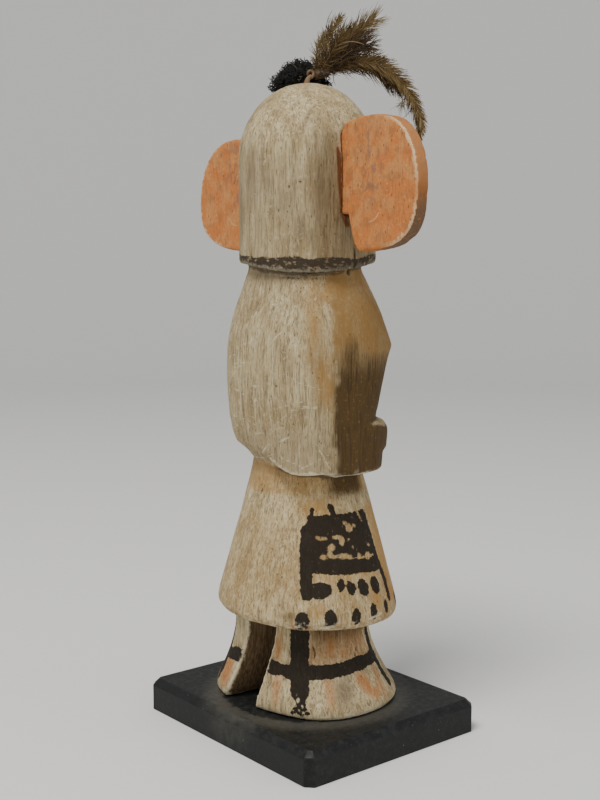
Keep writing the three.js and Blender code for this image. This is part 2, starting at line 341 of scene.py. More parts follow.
def carve(mesh):
    """Tool marks, grain, pits, incised arms and a cracked rim, cut into the figure."""
    points = mesh_points(mesh)
    skin = Skin(points)
    depth = 0.28 * ripple(points, (16, 16, 24), 3)
    depth += 0.10 * ripple(points, (5, 5, 14), 4)
    depth += 0.05 * ripple(points, (1.4, 1.4, 16), 5)
    on_torso = fade(skin.height, 106, 109) * fade(skin.height, 168, 158)
    for side in (1, -1):
        for line in ELBOW_LINES:
            groove = skin.stroke([(side * turn, height) for turn, height in line], 0)
            depth -= 0.35 * np.exp(-(groove / 0.8) ** 2)
        ridge = np.abs(skin.across(side * SIDE_TURN))
        depth += on_torso * (0.5 * np.exp(-ridge / 1.6) - 0.5 * np.exp(-((ridge - 6) / 4) ** 2))
        crease = skin.stroke([(side * FOREARM_CREASE, 127), (side * FOREARM_CREASE, 109)], 0)
        depth -= 0.45 * np.exp(-(crease / 0.9) ** 2)
    rng = random.Random(7)
    for _ in range(70):
        turn, height = rng.uniform(-180, 180), rng.uniform(8, 262)
        size = rng.uniform(0.5, 1.1)
        depth -= 0.25 * soft(skin.blot(turn, height, size, size * rng.uniform(1, 2)), 0.6)
    for turn, height, size in DEEP_PITS:
        depth -= 0.6 * soft(skin.blot(turn, height, size, size), 0.6)
    crack = skin.stroke(RIM_CRACK, 0)
    depth -= 1.2 * np.exp(-(crack / 0.7) ** 2) * fade(skin.height, 208, 203)
    hem = fade(np.abs(skin.height - HEM), 4, 1) * (skin.radius > 30)
    depth -= 0.5 * hem * fade(ripple(points, (3, 3, 3), 8), 0.1, 0.8)
    rim = fade(np.abs(skin.height - HEAD_RIM + 2), 5, 2) * (skin.radius > 28)
    depth -= 0.35 * rim * fade(ripple(points, (3.5, 3.5, 2), 9), 0.1, 0.8)
    set_mesh_points(mesh, points + mesh_normals(mesh) * depth[:, None])


# ---- The figure: paint -----------------------------------------------------------------------------

KILT_SPOTS = [
    # turn, height, half-width, half-height and lean of each spot under the panel
    (58.4, 59, 5.4, 3.6), (52.5, 57.5, 4, 1.4), (73.1, 60.4, 1.9, 2.7), (80.6, 58.8, 2.2, 3, 20),
    (90.8, 58, 2.9, 4, 25), (102, 57.8, 3, 4, 15),
]
HEM_SPOTS = [
    (47, 46.2, 3.3, 4.2), (64.5, 46.6, 3, 4), (82, 46.4, 2.4, 3.6), (96.6, 47, 2.2, 3.4), (110, 47, 1.6, 3),
    (-172, 47, 2.2, 3.4), (-150, 47, 2.2, 3.4), (130, 47, 2.2, 3.4), (156, 47, 2.2, 3.4),
]


def kilt_ink(skin):
    """The kilt's black panel, the bars round it and the spots along the hem."""
    left_bar = union(skin.stroke([(49.5, 84), (49, 72), (49.5, 57.5)], 2.7),
                     skin.stroke([(54, 93), (53, 88), (52, 84)], 0.8))
    right_bar = skin.stroke([(108, 88), (109, 78), (111, 68), (116, 58), (116.5, 50)], 1.6)
    panel = skin.panel(50, 109, 76.5, 90.5)
    lower = skin.panel(50, 109, 71, 77)
    band = skin.stroke([(52, 69.5), (75, 68), (108, 66.5)], 3.2)
    knot = skin.stroke([(71, 94), (73, 90)], 1.4)
    spots = [skin.blot(*spot) for spot in KILT_SPOTS + HEM_SPOTS]
    return union(left_bar, right_bar, panel, lower, band, knot, *spots)


PANEL_GAPS = [
    (59, 81, 1.6, 1), (62, 80.6, 2.4, 0.9), (74, 80.6, 2.2, 1.1), (78, 78.8, 1.6, 2), (86.5, 84, 2, 2),
    (83, 86.6, 1, 0.8), (91.5, 84.6, 1.3, 1), (104.5, 75.2, 1, 1), (88, 75.4, 0.7, 1), (68.5, 76.4, 2, 1.6),
    (67, 74, 1.3, 1.6), (62, 72.6, 1.8, 1.1), (70, 72.4, 2.2, 0.9), (77, 72.4, 3, 1.3), (83, 71.6, 2, 1),
    (92, 71.4, 1.4, 1.2), (101, 70.6, 1.8, 1.8), (84, 79, 0.9, 0.7),
]


def panel_gaps(skin):
    """Places where the panel's black was left off or has rubbed away."""
    gaps = [skin.blot(*gap) for gap in PANEL_GAPS]
    scrapes = [skin.stroke([(95, 93.5), (103, 85.5)], 0.5), skin.stroke([(97.5, 92), (100, 88.5)], 0.8)]
    return union(*gaps, *scrapes)


def leg_ink(skin, side):
    """The black stripes and band on one leg; the left leg's mirror the right's."""
    first = skin.stroke([(side * 43.5, 42), (side * 43.5, 24), (side * 44.5, 12)], 4.3)
    tail = skin.stroke([(side * 45, 12), (side * 45.5, 6.5)], 2.2)
    second = skin.stroke([(side * 119, 42), (side * 121.5, 24), (side * 126, 8)], 2)
    band = skin.stroke([(side * 12, 21), (side * 44, 19.6), (side * 62, 20), (side * 80, 20.5),
                        (side * 100, 21), (side * 122, 20.5)], 3)
    thinner = 0.9 * ripple(skin.points, (5, 5, 5), 21)
    return union(first, tail, second, band + thinner)


FOOT_SPECKS = [(42, 4.5), (45, 3.2), (48, 4.8), (44, 6.8), (50, 3.4), (40, 2.8), (47, 2)]


def face_ink(skin):
    """A plain mask: two eye slits and a small mouth."""
    return union(skin.panel(159, 171, 238, 241.5), skin.panel(189, 201, 238, 241.5),
                 skin.blot(180, 222, 3.2, 2.4))


def most(*fields):
    return np.maximum.reduce(fields)


def stains(skin, rows):
    """Soft ovals from rows of strength, turn, height, half-width, half-height, edge width and lean."""
    return most(*(strength * soft(skin.blot(turn, height, wide, tall, *lean), edge)
                  for strength, turn, height, wide, tall, edge, *lean in rows))


TORSO_OCHRE = [(1, 55, 172, 2.5, 14, 4), (1, 60, 153, 3.5, 10, 4), (1, 66, 146, 3, 6, 3),
               (0.8, 66, 187, 3, 3, 2), (0.9, 82, 165, 8, 14, 6), (0.9, 60, 94, 9, 5, 5)]
KILT_OCHRE = [(1, 101, 53, 4, 6, 3), (0.7, 57, 50, 4, 4, 3), (0.35, 30, 66, 2.4, 18, 3),
              (0.3, 2, 72, 2, 14, 3)]
LEG_RUST = [(1, 24, 30, 1.6, 5, 2), (1, 25, 12, 2, 7, 2), (1, 71, 30, 1.8, 5, 2), (0.8, 84, 26, 3, 2.5, 2),
            (0.8, 66, 12, 2, 6, 2), (1, 97, 12, 3.4, 6, 2, 30), (1, 104, 8, 3.6, 3, 2),
            (1, 113, 11, 1.6, 7, 2), (1, -34, 12, 5, 8, 3), (0.8, -100, 14, 6, 9, 3)]
TORSO_UMBER = [(0.3, 58, 160, 4, 22, 5), (0.9, 83, 156, 6, 14, 5)]
HEAD_ASH = [(1, -3, 236, 5, 14, 5), (1, -24, 226, 5, 24, 6), (0.7, 8, 218, 4, 12, 5),
            (0.7, 58, 232, 6, 22, 6), (0.8, 17, 233, 3, 9, 4), (0.7, 32, 227, 6, 8, 5),
            (0.8, 44, 217, 3, 6, 3), (0.7, 66, 250, 4, 7, 4), (0.8, 52, 212, 3, 5, 3)]
CHIP_LINES = [
    # a route and its half-width
    ([(52, 110.6), (58, 109.2), (64, 108.6)], 0.9), ([(66, 108.6), (85, 107.8), (104, 108.4)], 0.5),
    ([(35, 180), (33, 175)], 0.5), ([(38, 171), (38, 164)], 0.4),
    ([(-22, 131), (-10, 131.5), (4, 129.5)], 0.35), ([(2, 125.5), (16, 127)], 0.35),
    ([(20, 128), (36, 136)], 0.3), ([(28, 123.5), (37, 126)], 0.5),
    ([(8, 117), (18, 122)], 0.4), ([(58, 121), (66, 112)], 0.4), ([(45, 66), (36, 58)], 0.3),
    ([(58, 42.6), (66, 43.4)], 0.8), ([(92, 44.2), (104, 45)], 0.6), ([(112, 34), (116, 26)], 0.5),
]
FOOT_CHIPS = [(43.5, 8.4, 0.9, 1.2), (46.8, 6, 0.7, 0.9)]
EAR_SLOT = [(75.4, 249), (76.8, 236), (79.7, 221.6), (83.5, 217)]
FAR = 50                     # a distance that no paint reaches


def ink_fields(mesh, skin, on_leg, on_kilt, outward):
    """The black paint, as signed distances."""
    on_head = skin.height > HEAD_RIM + 8
    ink = np.full(len(skin.turn), float(FAR))
    ink = np.where(on_kilt, kilt_ink(skin), ink)
    specks = union(*(skin.blot(turn, height, 1.1, 0.9) for turn, height in FOOT_SPECKS))
    ink = np.where(on_leg, union(leg_ink(skin, 1), leg_ink(skin, -1), specks), ink)
    ink = np.where(on_leg & (outward < 0.35), FAR, ink)
    ink = np.where(on_head, face_ink(skin), ink)
    store(mesh, "ink", ink)
    store(mesh, "gaps", np.where(on_kilt, panel_gaps(skin), FAR))
    band_top = 203 + 1.8 * fade(np.abs(skin.turn - 45), 40, 80) + 0.8 * ripple(skin.points, (6, 6, 6), 31)
    off_the_neck = np.maximum(27.8 - skin.radius, 194 - skin.height)
    store(mesh, "rim_band", np.maximum(skin.height - band_top, off_the_neck))
    store(mesh, "slot_line", union(*(skin.stroke([(side * turn, height) for turn, height in EAR_SLOT], 0.9)
                                     for side in (1, -1))))


def stain_and_shade_fields(mesh, skin, on_leg, on_kilt, level, upward):
    """Ochre, umber and ash, from 0 to 1. Umber also paints the shadow under the right elbow. Ash also paints
    the shadow under the head's rim and shade on the lower back, and it greys the head below the dome so that
    the dome's top shows paler as painted light.
    """
    turn, height = skin.turn, skin.height
    wavy_turn = turn + 5 * ripple(skin.points, (5, 5, 9), 35) + 3 * ripple(skin.points, (2, 2, 3), 36)
    side = fade(wavy_turn, 62, 75) * fade(turn, 160, 135) * fade(upward, 0.6, 0.3)
    waist = fade(height, 97, 100.5) * fade(height, 115, 110) * (skin.radius < 29)
    waist *= fade(np.abs(turn - 20), 120, 90) * fade(turn, -75, -20)
    beside_panel = fade(turn, 111, 114) * fade(turn, 150, 138) * fade(height, 44, 50) * fade(height, 96, 90)
    kilt = most(0.6 * soft(skin.panel(50, 111, 59, 90), 5), 0.25 * fade(height, 96, 84),
                stains(skin, KILT_OCHRE))
    legs = most(0.4 * fade(turn, 46, 54) * fade(turn, 120, 112) * fade(level, 16, 30),
                stains(skin, LEG_RUST))
    golden = most(side * fade(height, 140, 170) * (height < 198), stains(skin, TORSO_OCHRE), 0.65 * waist,
                  beside_panel * (height < 100), on_kilt * kilt, on_leg * legs)
    store(mesh, "golden", golden)
    store(mesh, "low", fade(height, 46, 40))

    # The kilt's top under the right elbow takes umber: a painted shadow cast by the overhanging elbow.
    elbow_cast_shadow = fade(turn, 60, 82) * fade(turn, 125, 105) * fade(height, 95, 101) * (height < 107.5)
    head = fade(turn, 50, 62) * fade(turn, 140, 110) * fade(height, 263, 240) * (height > 198)
    legs = fade(turn, 48, 58) * fade(turn, 118, 108) * fade(height, 26, 38)
    umber = most(side * fade(height, 172, 150) * fade(height, 104, 108),
                 0.4 * side * (height > 150) * (height < 198), stains(skin, TORSO_UMBER), elbow_cast_shadow,
                 0.5 * head, 0.75 * on_leg * legs, on_kilt * stains(skin, [(0.6, 39, 48, 4, 2, 2)]))
    store(mesh, "umber", umber)

    # The neck just under the head's rim at the back is darkened: a painted shadow cast by the rim.
    neck = fade(height, 188, 195) * (height < 199) * fade(np.abs(turn - 15), 50, 25)
    # The back darkens towards the waist, where it curves in and faces down: painted shade.
    low_back_shade = fade(height, 140, 120) * (height > 107) * fade(np.abs(turn - 20), 60, 40)
    ash = most(stains(skin, HEAD_ASH), 0.8 * neck, 0.55 * low_back_shade,
               # Grey over the head below the dome and none on its top, so the top shows paler: painted light
               # from above.
               0.38 * fade(height, 262, 236) * (height > 199),
               0.2 * fade(height, 105, 110) * (height < 199),
               on_leg * stains(skin, [(1, 77, 11, 4.5, 5.5, 3, -25)]))
    store(mesh, "ash", ash)


def scratch_routes():
    rng = random.Random(9)
    for _ in range(46):
        turn, height = rng.uniform(-40, 50), rng.uniform(110, 185)
        lean, reach = math.radians(rng.gauss(18, 30)), rng.uniform(4, 14)
        yield [(turn, height), (turn + reach * math.cos(lean) * 1.6, height + reach * math.sin(lean))]


def wear_fields(mesh, skin, normals, outward):
    """Chips, scratches, cracks, bare wood, worn edges, and the hollows that are darkened with painted shade.
    """
    chips = union(*(skin.stroke(route, half_width) for route, half_width in CHIP_LINES),
                  *(skin.blot(*chip) for chip in FOOT_CHIPS))
    store(mesh, "chips", np.where((skin.height > 196) & (skin.height < 260), FAR, chips))
    scratches = union(*(skin.stroke(route, 0.12) for route in scratch_routes()))
    on_back = (skin.height > 108) & (skin.height < 192)
    store(mesh, "scratches", np.where(on_back, scratches, FAR))
    inner_wall = (skin.height < 41) & (skin.radius > 3) & (np.abs(normals[:, 2]) < 0.8)
    store(mesh, "bare", fade(outward, 0.45, 0.1) * (inner_wall | (skin.height < 0.5)))
    cracks = union(skin.stroke([(55, 31), (57, 28), (56, 26)], 0.25),
                   skin.stroke([(95, 24), (99, 27.5)], 0.3),
                   skin.stroke(RIM_CRACK, 0.35), skin.stroke([(-30, 262), (-12, 263)], 0.1))
    store(mesh, "cracks", cracks)
    store(mesh, "edge", np.clip(bulge(mesh, 8), -1, 1))


def paint_fields(mesh):
    """Keeps on the mesh where each paint, stain and mark lies, and where light and shade are painted."""
    skin = Skin(mesh_points(mesh))
    normals = mesh_normals(mesh)
    outward = (normals[:, 0] * skin.points[:, 0] + normals[:, 1] * skin.points[:, 1]) / skin.radius
    level = skin.height - HEM_DIP * (skin.points[:, :2] @ BACK_LEFT)
    on_leg = level < HEM - 1.7
    on_kilt = ~on_leg & (skin.height < 100)
    ink_fields(mesh, skin, on_leg, on_kilt, outward)
    stain_and_shade_fields(mesh, skin, on_leg, on_kilt, level, normals[:, 2])
    wear_fields(mesh, skin, normals, outward)


CREAM = (0.53, 0.435, 0.25)
CHALK = (0.70, 0.62, 0.43)
TAN = (0.36, 0.265, 0.13)
OCHRE = (0.36, 0.20, 0.062)
RUST = (0.40, 0.155, 0.045)
UMBER = (0.082, 0.048, 0.016)
ASH = (0.20, 0.15, 0.09)
INK = (0.012, 0.009, 0.007)
RIM_PAINT = (0.034, 0.024, 0.016)
BARE_WOOD = (0.11, 0.068, 0.030)
PALE_WOOD = (0.22, 0.15, 0.085)
SLOT_ORANGE_IN_SHADE = (0.13, 0.035, 0.010)
STAIN_FLECK = (0.22, 0.145, 0.06)
DARK_GRAIN = (0.045, 0.026, 0.010)
HOLLOW_SHADE_AND_DIRT = (0.05, 0.035, 0.022)
CRACK = (0.04, 0.028, 0.018)


def figure_finish():
    # The figure's material also holds painted shadows and shade, and painted light on the dome's top.
    paint = Finish("worn_kaolin_paint_and_painted_shade", specular=0.2)
    grain = paint.noise(0.8, stretch=(1, 1, 16), detail=4)
    fibres = paint.noise(0.45, stretch=(1, 1, 9), shift=40, detail=3)
    clouds = paint.noise(9, stretch=(1, 1, 2), detail=4)
    mottle = paint.noise(1.7, shift=70, detail=5, roughness=0.65)
    specks = paint.cells(2.6, stretch=(1, 1, 1.8), shift=5)
    streaks = paint.noise(1.9, stretch=(1, 1, 13), shift=90, detail=4, roughness=0.6)
    scrapes = paint.noise(0.9, stretch=(1, 1, 6), lean=(0, 18, 0), shift=60, detail=4)

    colour = paint.mix(paint.step(clouds, 0.4, 0.7), CREAM, TAN)
    colour = paint.mix(paint.step(streaks, 0.5, 0.66, 0, 0.7), colour, ASH)
    colour = paint.mix(paint.step(streaks, 0.44, 0.32, 0, 0.5), colour, CHALK)
    colour = paint.mix(paint.step(mottle, 0.54, 0.68, 0, 0.5), colour, CHALK)
    colour = paint.mix(paint.step(mottle, 0.46, 0.34, 0, 0.45), colour, TAN)
    colour = paint.mix(paint.step(grain, 0.48, 0.38, 0, 0.7), colour, ASH)
    colour = paint.mix(paint.step(scrapes, 0.62, 0.7, 0, 0.4), colour, CHALK)
    colour = paint.mix(paint.step(fibres, 0.44, 0.32, 0, 0.7), colour, UMBER)

    loose = paint.step(mottle, 0.62, 0.44, 0.75, 1)
    patchy = paint.step(clouds, 0.3, 0.6, 0.75, 1)
    # Ash greys the real smudges, and also paints the shadow under the head's rim, shade on the lower back and
    # the paler dome top.
    ash = paint.times(paint.field("ash"), paint.step(grain, 0.35, 0.6, 0.45, 1))
    colour = paint.mix(ash, colour, ASH)
    golden = paint.times(paint.field("golden"), paint.times(loose, patchy))
    colour = paint.mix(golden, colour, paint.mix(paint.field("low"), OCHRE, RUST))
    # Umber is brown stain, and also the painted shadow under the right elbow.
    umber = paint.times(paint.field("umber"), paint.step(grain, 0.3, 0.5, 0.88, 1))
    colour = paint.mix(umber, colour, UMBER)
    # Beside each ear the head takes a dark orange strip: the ear's orange deep in its groove, darkened as
    # painted shade.
    slot_line = paint.step(paint.add(paint.field("slot_line"), paint.times(streaks, 0.6)), 0.9, 0.2, 0, 0.9)
    colour = paint.mix(slot_line, colour, SLOT_ORANGE_IN_SHADE)
    stained = paint.step(paint.field("umber"), 0.3, 0.9)
    flecks = paint.times(stained, paint.step(mottle, 0.55, 0.68, 0, 0.5))
    colour = paint.mix(flecks, colour, STAIN_FLECK)
    dark_grain = paint.times(stained, paint.step(grain, 0.5, 0.38, 0, 0.8))
    colour = paint.mix(dark_grain, colour, DARK_GRAIN)
    colour = paint.mix(paint.step(specks, 0.14, 0.08, 0, 0.7), colour, UMBER)
    bare = paint.mix(paint.step(grain, 0.35, 0.65), BARE_WOOD, PALE_WOOD)
    colour = paint.mix(paint.field("bare"), colour, bare)

    wander = paint.times(paint.add(paint.noise(1.6, shift=20, detail=4), -0.5), 2.2)
    ragged = paint.add(paint.field("ink"), wander)
    filled = paint.step(ragged, 0.14, -0.14)
    open_gaps = paint.step(paint.add(paint.field("gaps"), wander), -0.5, 0.2, 0.1, 1)
    rubbed = paint.step(paint.noise(1.2, stretch=(1, 1, 2), shift=11, detail=4), 0.26, 0.36, 0.7, 0.97)
    black = paint.times(paint.times(filled, open_gaps), rubbed)
    colour = paint.mix(black, colour, INK)
    band_cracks = paint.noise(2, stretch=(1.4, 1.4, 0.8), shift=33, detail=5)
    band_wear = paint.step(band_cracks, 0.34, 0.46, 0.3, 0.96)
    band = paint.times(paint.step(paint.add(paint.field("rim_band"), wander), 0.3, -0.3), band_wear)
    colour = paint.mix(band, colour, RIM_PAINT)

    chip = paint.step(paint.add(paint.field("chips"), paint.times(wander, 0.5)), 0.1, -0.4, 0, 0.6)
    colour = paint.mix(chip, colour, CHALK)
    worn_edge = paint.step(paint.add(paint.field("edge"), paint.times(wander, 0.35)), 0.22, 0.5, 0, 0.65)
    worn_edge = paint.times(worn_edge, paint.step(paint.field("rim_band"), -0.5, 0.5, 0.4, 1))
    worn_edge = paint.times(worn_edge, paint.step(paint.field("umber"), 0.1, 0.6, 1, 0.3))
    colour = paint.mix(worn_edge, colour, CHALK)
    scratch = paint.step(paint.add(paint.field("scratches"), paint.times(wander, 0.3)), 0.3, -0.1, 0, 0.55)
    colour = paint.mix(scratch, colour, CHALK)
    # Hollows, where the surface sinks below its neighbours, are darkened: painted shade, with some dirt.
    hollow_shade_and_dirt = paint.step(paint.field("edge"), -0.12, -0.4, 0, 0.75)
    colour = paint.mix(hollow_shade_and_dirt, colour, HOLLOW_SHADE_AND_DIRT)
    crack = paint.step(paint.add(paint.field("cracks"), paint.times(wander, 0.2)), 0.3, 0.0, 0, 0.85)
    colour = paint.mix(crack, colour, CRACK)

    relief = paint.add(paint.times(grain, 0.7), paint.add(paint.times(fibres, 0.5), paint.times(mottle, 0.4)))
    normal = paint.bump(paint.add(relief, paint.times(streaks, 0.8)), 0.34)
    normal = paint.bump(paint.add(paint.times(chip, -1), paint.times(black, 0.35)), 0.12, normal)
    return paint.finish(colour, paint.step(mottle, 0.3, 0.7, 0.72, 0.92), normal)


def make_figure():
    figure = fine_copy("figure", "carved_figure", 0.9, 4)
    carve(figure.data)
    paint_fields(figure.data)
    figure.data.materials.append(figure_finish())


# ---- Ears ------------------------------------------------------------------------------------------

ORANGE = (0.50, 0.17, 0.045)
PALE_ORANGE = (0.52, 0.24, 0.085)
EAR_SCUFF = (0.20, 0.12, 0.09)
EAR_RIM = (0.36, 0.13, 0.03)
EAR_DIRT = (0.26, 0.11, 0.045)
EAR_CHALK = (0.66, 0.52, 0.33)


def ear_fields(mesh):
    """Where an ear is rubbed: how far each point is from the rim, and its scuffed middle."""
    points = mesh_points(mesh)
    normals = mesh_normals(mesh)
    on_rim = np.flatnonzero(np.abs(normals[:, 1]) < 0.5)
    tree = kdtree.KDTree(len(on_rim))
    for place, index in enumerate(on_rim):
        tree.insert(points[index], place)
    tree.balance()
    store(mesh, "rim_distance", np.array([tree.find(point)[2] for point in points]))
    out, height = np.abs(points[:, 0]), points[:, 2]
    middle = np.hypot((out - 47) / 9, (height - 241) / 17)
    store(mesh, "scuffed", fade(middle, 1.5, 0.4))
    upper_edge = fade(out + 0.6 * (height - 240), 66, 76)
    lower_edge = fade(out - 0.9 * (height - 222), 66, 74)
    store(mesh, "rubbed", most(upper_edge, 0.8 * lower_edge) * fade(out, 50, 56))
    store(mesh, "shaded_rim", fade(height, 240, 218) * fade(out, 46, 60))
    arc = np.abs(np.hypot(out - 46.5, height - 224.5) - 6.5) + 9 * (height > 222) + 9 * (out < 46)
    store(mesh, "scratch", np.minimum(9, arc))
    store(mesh, "edge", np.clip(bulge(mesh, 6), -1, 1))


def carve_ear(mesh):
    points = mesh_points(mesh)
    normals = mesh_normals(mesh)
    depth = 0.18 * ripple(points, (9, 9, 12), 41) + 0.06 * ripple(points, (2, 2, 7), 42)
    edge = np.clip(bulge(mesh, 6), 0, 1)
    depth -= 0.9 * edge * fade(ripple(points, (3, 3, 3), 43), -0.2, 0.8)
    rng = random.Random(11)
    for _ in range(26):
        side = rng.choice((-1, 1))
        centre = np.array([rng.uniform(36, 70) * np.sign(points[0, 0]), 3.5 * side, rng.uniform(212, 255)])
        away = np.linalg.norm((points - centre) / (1, 3, 1.6), axis=1)
        depth -= 0.25 * fade(away, 1.2, 0.3)
    set_mesh_points(mesh, points + normals * depth[:, None])


def ear_finish():
    paint = Finish("worn_orange_paint", specular=0.2)
    grain = paint.noise(0.8, stretch=(1, 1, 10), detail=4)
    clouds = paint.noise(7, detail=4)
    mottle = paint.noise(1.3, shift=9, detail=5, roughness=0.65)
    pits = paint.cells(2.4, stretch=(1, 1, 1.8), shift=3)
    colour = paint.mix(paint.step(clouds, 0.4, 0.65, 0, 0.8), ORANGE, PALE_ORANGE)
    colour = paint.mix(paint.step(mottle, 0.55, 0.68, 0, 0.7), colour, (0.60, 0.33, 0.15))
    colour = paint.mix(paint.step(mottle, 0.45, 0.34, 0, 0.6), colour, (0.36, 0.12, 0.035))
    colour = paint.mix(paint.step(grain, 0.44, 0.34, 0, 0.5), colour, (0.26, 0.11, 0.05))
    smudge = paint.noise(3.2, stretch=(1, 1, 1.8), shift=15, detail=5)
    scuff = paint.times(paint.field("scuffed"), paint.step(smudge, 0.48, 0.6, 0, 0.7))
    colour = paint.mix(scuff, colour, EAR_SCUFF)
    colour = paint.mix(paint.step(pits, 0.19, 0.1, 0, 0.75), colour, (0.14, 0.06, 0.03))
    near_rim = paint.field("rim_distance")
    on_rim = paint.step(near_rim, 0.35, 0.05)
    colour = paint.mix(paint.times(on_rim, 0.7), colour, EAR_RIM)
    dirty = paint.step(paint.noise(5, shift=30, detail=5), 0.5, 0.66, 0, 0.45)
    colour = paint.mix(dirty, colour, EAR_DIRT)
    shaded_rim = paint.times(on_rim, paint.field("shaded_rim"))
    dark = paint.times(shaded_rim, paint.step(mottle, 0.3, 0.5, 0.5, 0.95))
    colour = paint.mix(dark, colour, (0.07, 0.035, 0.018))
    wander = paint.times(paint.add(paint.noise(1.6, shift=27, detail=5), -0.5), 3)
    just_inside = paint.step(paint.add(near_rim, paint.times(wander, 1.7)), 1.9, 0.8)
    not_rim = paint.step(near_rim, 0.1, 0.5, 0.12, 1)
    worn = paint.times(paint.times(just_inside, not_rim), paint.field("rubbed"))
    colour = paint.mix(paint.times(worn, 0.8), colour, EAR_CHALK)
    corner = paint.step(paint.add(paint.field("edge"), paint.times(wander, 0.1)), 0.3, 0.55, 0, 0.5)
    colour = paint.mix(corner, colour, (0.6, 0.36, 0.17))
    scratch = paint.step(paint.add(paint.field("scratch"), paint.times(wander, 0.15)), 0.5, 0.1, 0, 0.6)
    colour = paint.mix(scratch, colour, (0.66, 0.4, 0.22))
    relief = paint.add(paint.times(grain, 0.7), paint.times(mottle, 0.5))
    return paint.finish(colour, paint.step(mottle, 0.3, 0.7, 0.68, 0.9), paint.bump(relief, 0.32))


def make_ears(material):
    for node in ("right_ear", "left_ear"):
        ear = fine_copy(node, "carved_" + node, 0.6, 3)
        carve_ear(ear.data)
        ear_fields(ear.data)
        ear.data.materials.append(material)


# ---- Plinth ----------------------------------------------------------------------------------------

def plinth_finish():
    paint = Finish("black_stain", specular=0.2)
    dust = paint.noise(3, detail=5)
    specks = paint.cells(4.5, shift=8)
    colour = paint.mix(paint.step(dust, 0.4, 0.7), (0.009, 0.010, 0.010), (0.021, 0.022, 0.022))
    colour = paint.mix(paint.step(paint.noise(1.1, shift=5, detail=5), 0.56, 0.72, 0, 0.5), colour,
                       (0.045, 0.046, 0.043))
    away = paint.nodes.new("ShaderNodeVectorMath")
    away.operation = "DISTANCE"
    away.inputs[1].default_value = (FEET.x, FEET.y, PLINTH_HIGH.z)
    paint.links.new(paint.place, away.inputs[0])
    halo = paint.add(away.outputs["Value"], paint.times(paint.noise(4, shift=4, detail=4), 0.008))
    ring = paint.times(paint.step(halo, 0.0415, 0.044), paint.step(halo, 0.056, 0.046))
    colour = paint.mix(paint.times(ring, 0.3), colour, (0.16, 0.15, 0.12))
    colour = paint.mix(paint.step(specks, 0.05, 0.03, 0, 0.7), colour, (0.3, 0.29, 0.25))
    return paint.finish(colour, paint.step(dust, 0.3, 0.7, 0.42, 0.66), paint.bump(paint.noise(0.8), 0.05))


def make_plinth():
    """The CAD plinth with eased edges and two small facets chipped from its top corner at the back right."""
    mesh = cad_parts["plinth"].data.copy()
    mesh.materials.clear()
    cutter = bmesh.new()
    cutter.from_mesh(mesh)
    bmesh.ops.remove_doubles(cutter, verts=cutter.verts[:], dist=0.001 * MM)
    corner = Vector((PLINTH_LOW.x, PLINTH_HIGH.y, PLINTH_HIGH.z))
    for inward, normal in ((2.9, (-1, 1, 0.7)), (2.5, (-0.7, 1, 1.3))):
        everything = cutter.verts[:] + cutter.edges[:] + cutter.faces[:]
        start = corner + Vector((inward, -inward, 0)) * MM
        cut = bmesh.ops.bisect_plane(cutter, geom=everything, plane_co=start, plane_no=normal,
                                     clear_outer=True)
        edges = [item for item in cut["geom_cut"] if isinstance(item, bmesh.types.BMEdge)]
        bmesh.ops.holes_fill(cutter, edges=edges, sides=0)
    bmesh.ops.dissolve_limit(cutter, angle_limit=0.02, verts=cutter.verts[:], edges=cutter.edges[:])
    cutter.to_mesh(mesh)
    cutter.free()
    plinth = bpy.data.objects.new("bevelled_plinth", mesh)
    bpy.context.scene.collection.objects.link(plinth)
    eased = plinth.modifiers.new("eased", "BEVEL")
    eased.width = 0.35 * MM
    eased.segments = 2
    eased.limit_method = "ANGLE"
    eased.angle_limit = math.radians(20)
    settle(plinth)
    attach(plinth, "root")
    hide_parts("plinth")
    plinth.data.materials.append(plinth_finish())


# ---- Crown: wool, thong and feathers ---------------------------------------------------------------
# What is tied to the crown is placed by along, towards the doll's front right, away, towards its front
# left, and height.

PLUME_TURN = math.radians(230.4)
CROWN_AXES = np.array([[math.cos(PLUME_TURN), math.sin(PLUME_TURN), 0],
                       [-math.sin(PLUME_TURN), math.cos(PLUME_TURN), 0], [0, 0, 1]])


def on_crown(*place):
    """Doll millimetres from (along, away, height)."""
    return np.array(place) @ CROWN_AXES


def curve(knots, count):
    """Even points on a smooth line through the knots."""
    knots = np.array(knots, float)
    padded = np.vstack([2 * knots[0] - knots[1], knots, 2 * knots[-1] - knots[-2]])
    line = []
    for t in np.linspace(0, len(knots) - 1, count):
        i = min(int(t), len(knots) - 2)
        a, b, c, d = padded[i:i + 4]
        u = t - i
        line.append(0.5 * (2 * b + (c - a) * u + (2 * a - 5 * b + 4 * c - d) * u * u
                           + (3 * b - a - 3 * c + d) * u ** 3))
    return np.array(line)


def crown_curve(knots, count):
    return curve([on_crown(*knot) for knot in knots], count)


def unit(vector):
    return vector / max(np.linalg.norm(vector), 1e-9)


